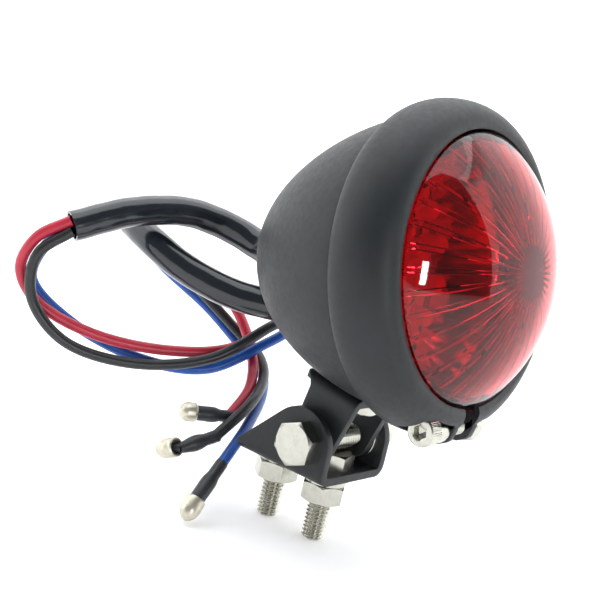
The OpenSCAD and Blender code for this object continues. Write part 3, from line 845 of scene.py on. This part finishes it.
b = Build()
for y in STUDS:
    b.add(*split_washer(), move(0, y, 0))
b.done("split_lock_washers", BASE, "bracket", "stainless", ["mounting_lock_washers"])
b = Build()
for y in STUDS:
    b.add(*hex_body(HEX_R, -7.5, -2.7, bore=2.77, turn=33 if y < 0 else -8, chamfer=(True, True)), move(0, y, 0))
b.done("mounting_hex_nuts", BASE, "bracket", "stainless", ["mounting_nuts"], sharp=28)

b = Build()
for y in SADDLE_SCREWS:
    b.add(*lathe([(0, 4.6), (1.6, 4.75), (2.6, 4.6), (3.3, 4.1), (3.6, 3.3), (3.5, 3.2), (0, 3.2)], 32), move(0, y, 0))
    b.add(*screw_thread(2.0, -5.4, 3.3, 0.7, 28), move(0, y, 0))
b.done("saddle_pan_screws", WEB, "lamp", "stainless", ["saddle_screws"], sharp=35)
b = Build()
for y in SADDLE_SCREWS:
    b.add(*hex_body(4.04, -4.6, -2.0, bore=1.95, chamfer=(True, False)), move(0, y, 0))
b.done("saddle_hex_nuts", WEB, "lamp", "stainless", ["saddle_nuts"], sharp=28)

# ------------------------------------------------------------------ grommet
Build().add(*lathe([(4.06, -4), (5.2, -4), (5.4, -3.8), (5.4, 1), (6.9, 1), (7.0, 1.3), (6.7, 2.2), (6.1, 2.9), (6.0, 3.2), (6.15, 3.5), (5.7, 4.3),
                    (5.5, 4.6), (5.6, 4.9), (5.2, 5.8), (5.0, 6.4), (4.4, 6.4), (4.06, 6.1)], 48)).done(
    "ribbed_grommet", GROMMET, "lamp", "black_rubber", ["cable_grommet"], sharp=40)

# ------------------------------------------------------------------ lens, gasket and what is inside
DOME_H, LENS_R, DISC_R, FLUTES = 13.7, 30.7, 5.8, 36
RIB_H = 0.75                      # ribs on the inside stand this far in
DOME_RADIUS = (LENS_R ** 2 + DOME_H ** 2) / (2 * DOME_H)


def dome(r, m=0.0):
    return DOME_RADIUS - DOME_H - math.sqrt((DOME_RADIUS - m) ** 2 - r * r)


def flute(r):
    """Angles of one flute as parts of a flute, each with its height: a straight-sided rib, then smooth glass."""
    h = min(0.2, 0.75 / (TAU * max(r, 7.0) / FLUTES))
    return [(-h, 0), (-0.55 * h, 1), (0.55 * h, 1), (h, 0), (0.35, 0), (0.5, 0), (0.65, 0)]


def lens():
    outer = [(0.02, dome(DISC_R)), (DISC_R - 0.3, dome(DISC_R)), (DISC_R, dome(DISC_R) + 0.05)]
    outer += [(r, dome(r)) for r in (6.6, 8, 10, 12, 14, 16, 18, 20, 22, 24, 26, 28, 29.4, 30.3)]
    outer += [(LENS_R, 0.2), (LENS_R + 0.05, 1.2), (LENS_R + 0.3, 9.6), (34.4, 10.05), (34.6, 10.3), (34.6, 11.9), (29.2, 12)]
    inner = [(28.9, 4, 0.0), (28.8, 1.6, 0.0), (28.4, dome(28.4, 2.1), 0.6)]
    inner += [(r, dome(r, 2.1), 1.0) for r in (27, 26, 24, 22, 20, 18, 16, 14, 12, 10, 8.5)] + [(7, dome(7, 2.1), 0.5),
              (DISC_R, dome(DISC_R, 2.1), 0.0), (0.02, dome(DISC_R, 2.1), 0.0)]
    rows = []
    for r, s, amount in [(r, s, 0.0) for r, s in outer] + inner:
        row = []
        for k in range(FLUTES):
            for t, height in flute(r):
                a = TAU * (k + t) / FLUTES
                row.append((r * math.cos(a), r * math.sin(a), s + amount * RIB_H * height))
        rows.append(row)
    verts, faces = capped(rows)
    ob = piece("fluted_lens", verts, faces, AXIS, "lamp", "red_lens", ["lens"], sharp=24)
    ob.visible_shadow = False
    return ob


lens()
Build().add(*ring(30.9, 34.9, 12.0, 13.0, 0.25, 96)).done("lens_seal", AXIS, "lamp", "black_rubber", ["lens_gasket"])


def reflector():
    facets, n = 36, 144
    rows = []
    for r, s, wave in ((34.9, 13.0, 0), (34.9, 13.5, 0), (32.0, 13.6, 0), (29.5, 19.4, 0.3), (25.2, 27.2, 0.0), (25.2, 28, 0), (21.8, 28, 0), (21.8, 27.3, 0),
                       (24.4, 27.1, 0), (26.5, 23.2, 0.35), (29.0, 18.3, 0.45), (30.8, 13.5, 0.2), (31.2, 13.0, 0)):
        rows.append([((r - wave * abs(math.sin(facets * math.pi * k / n))) * math.cos(TAU * k / n),
                      (r - wave * abs(math.sin(facets * math.pi * k / n))) * math.sin(TAU * k / n), s) for k in range(n)])
    verts, faces = grid(rows, closed_rows=True, closed_columns=True)
    return piece("facet_reflector", verts, faces, AXIS, "lamp", "reflector_chrome", ["reflector"], sharp=25)


reflector()
Build().add(*ring(0.6, 24.6, 28.0, 29.6, 0.1, 96)).done("lamp_board", AXIS, "lamp", "board", ["led_board"])
LEDS = [(18.4, 15 + 30 * i) for i in range(12)] + [(8.0, 30 + 60 * i) for i in range(6)] + [(0.0, 0)]
b = Build()
for r, a in LEDS:
    profile = [(0, 28), (2.9, 28), (2.9, 27.1), (2.55, 27.0), (2.5, 23)] + [
        (2.5 * math.cos(t), 22.9 - 2.5 * math.sin(t)) for t in (math.pi / 2 * k / 8 for k in range(1, 8))] + [(0, 20.4)]
    b.add(*lathe(profile, 28), rot(a, "Z") @ move(r, 0, 0))
b.done("led_lamps", AXIS, "lamp", "led_clear", ["led_emitters"], sharp=40)
b = Build()
for a in (0, 60, 120, 180, 240, 300):
    m = rot(a + 60, "Z") @ move(12.6, -3.2 if a % 120 == 0 else 3.2, 27.3)
    for y0, y1, k in ((-1.6, -1.1, 0.62), (-1.1, 1.1, 0.58), (1.1, 1.6, 0.62)):
        low, high = (-0.8 * k / 0.62, y0, -0.7 * k / 0.62), (0.8 * k / 0.62, y1, 0.7)
        verts = [(x, y, z) for x in (low[0], high[0]) for y in (low[1], high[1]) for z in (low[2], high[2])]
        b.add(verts, [(0, 1, 3, 2), (4, 6, 7, 5), (0, 4, 5, 1), (2, 3, 7, 6), (0, 2, 6, 4), (1, 5, 7, 3)], m)
b.done("chip_resistors", AXIS, "lamp", "chip_black", ["board_resistors"], bevel=0.08)
b = Build()
for a in (90, 210, 330):
    b.add(*hex_body(2.9, 29.6, 50.4, chamfer=(True, True)), rot(a, "Z") @ move(14, 0, 0))
b.done("hex_standoffs", AXIS, "lamp", "stainless", ["board_standoffs"], sharp=28)
b = Build()
for a in (90, 210, 330):
    place = rot(a, "Z") @ move(14, 0, 0)
    b.add(*lathe([(0, 26.5), (0.5, 26.5), (0.9, 26.1), (1.6, 26.0), (2.4, 26.4), (2.7, 27.0), (2.7, 28), (0, 28)], 28), place)
    b.add(*screw_thread(1.5, 27.9, 33.9, 0.5, 20), place)
b.done("board_pan_screws", AXIS, "lamp", "stainless", ["board_screws"], sharp=35)

# ------------------------------------------------------------------ studio
FLOOR_Z = -17.62 * MM


def stage_object(name, rows, finish):
    """Adds a surface of the studio from rows of points in metres."""
    verts, faces = grid(rows)
    me = bpy.data.meshes.new(name)
    me.from_pydata([tuple(v) for v in verts], [], faces)
    for p in me.polygons:
        p.use_smooth = True
    me.materials.append(finish.mat)
    ob = bpy.data.objects.new(name, me)
    bpy.context.scene.collection.objects.link(ob)


def studio():
    """White floor with a wall bent round the far sides; the near left side stays open."""
    paper = Finish("studio_paper", Roughness=0.9, Emission_Strength=WALL_GLOW, Emission_Color=(1, 1, 1))
    paper.colour(paper.tint(paper.noise(400, 2), (0.3, (0.9, 0.9, 0.9)), (0.7, (0.93, 0.93, 0.93))))
    floor = Finish("studio_floor_paper", Roughness=0.9, Emission_Strength=FLOOR_GLOW, Emission_Color=(1, 1, 1))
    floor.colour(floor.tint(floor.noise(400, 2), (0.3, (0.9, 0.9, 0.9)), (0.7, (0.93, 0.93, 0.93))))
    reach = 2.4
    stage_object("studio_floor", [[(x, y, FLOOR_Z) for y in (-reach, -0.8, 0, 0.8, reach)] for x in (-reach, -0.8, 0, 0.8, reach)], floor)
    rows = []
    for i in range(49):
        a = math.radians(WALL_FROM + (WALL_TO - WALL_FROM) * i / 48)
        rows.append([(WALL_R * math.cos(a), WALL_R * math.sin(a), FLOOR_Z + z) for z in (0.0, 0.4, 0.9, WALL_TOP)])
    stage_object("studio_wall", rows, paper)


def area_light(name, place, target, size, power, colour=(1, 1, 1)):
    data = bpy.data.lights.new(name, "AREA")
    data.shape = "RECTANGLE"
    data.size, data.size_y = size
    data.energy = power
    data.color = colour
    ob = bpy.data.objects.new(name, data)
    bpy.context.scene.collection.objects.link(ob)
    ob.location = place
    ob.rotation_euler = (Vector(target) - Vector(place)).to_track_quat("-Z", "Y").to_euler()


WALL_FROM, WALL_TO, WALL_R, WALL_TOP, WALL_GLOW = -72, 150, 1.2, 2.2, 0.42
FLOOR_GLOW = 0.3
studio()
area_light("softbox", (0.2, 0.3, 1.6), (0, 0, 0), (2.0, 2.0), 27, (0.94, 0.975, 1.0))
area_light("window", (-0.688, -1.305, 0.25), (0, 0, 0.04), (0.1, 0.36), 4.2)

world = bpy.data.worlds.new("studio")
world.use_nodes = True
background = next(n for n in world.node_tree.nodes if n.type == "BACKGROUND")
background.inputs["Color"].default_value = (0.95, 0.97, 1.0, 1)
background.inputs["Strength"].default_value = 0.2
bpy.context.scene.world = world
bpy.context.scene.view_settings.view_transform = "Standard"
bpy.context.scene.view_settings.look = "None"
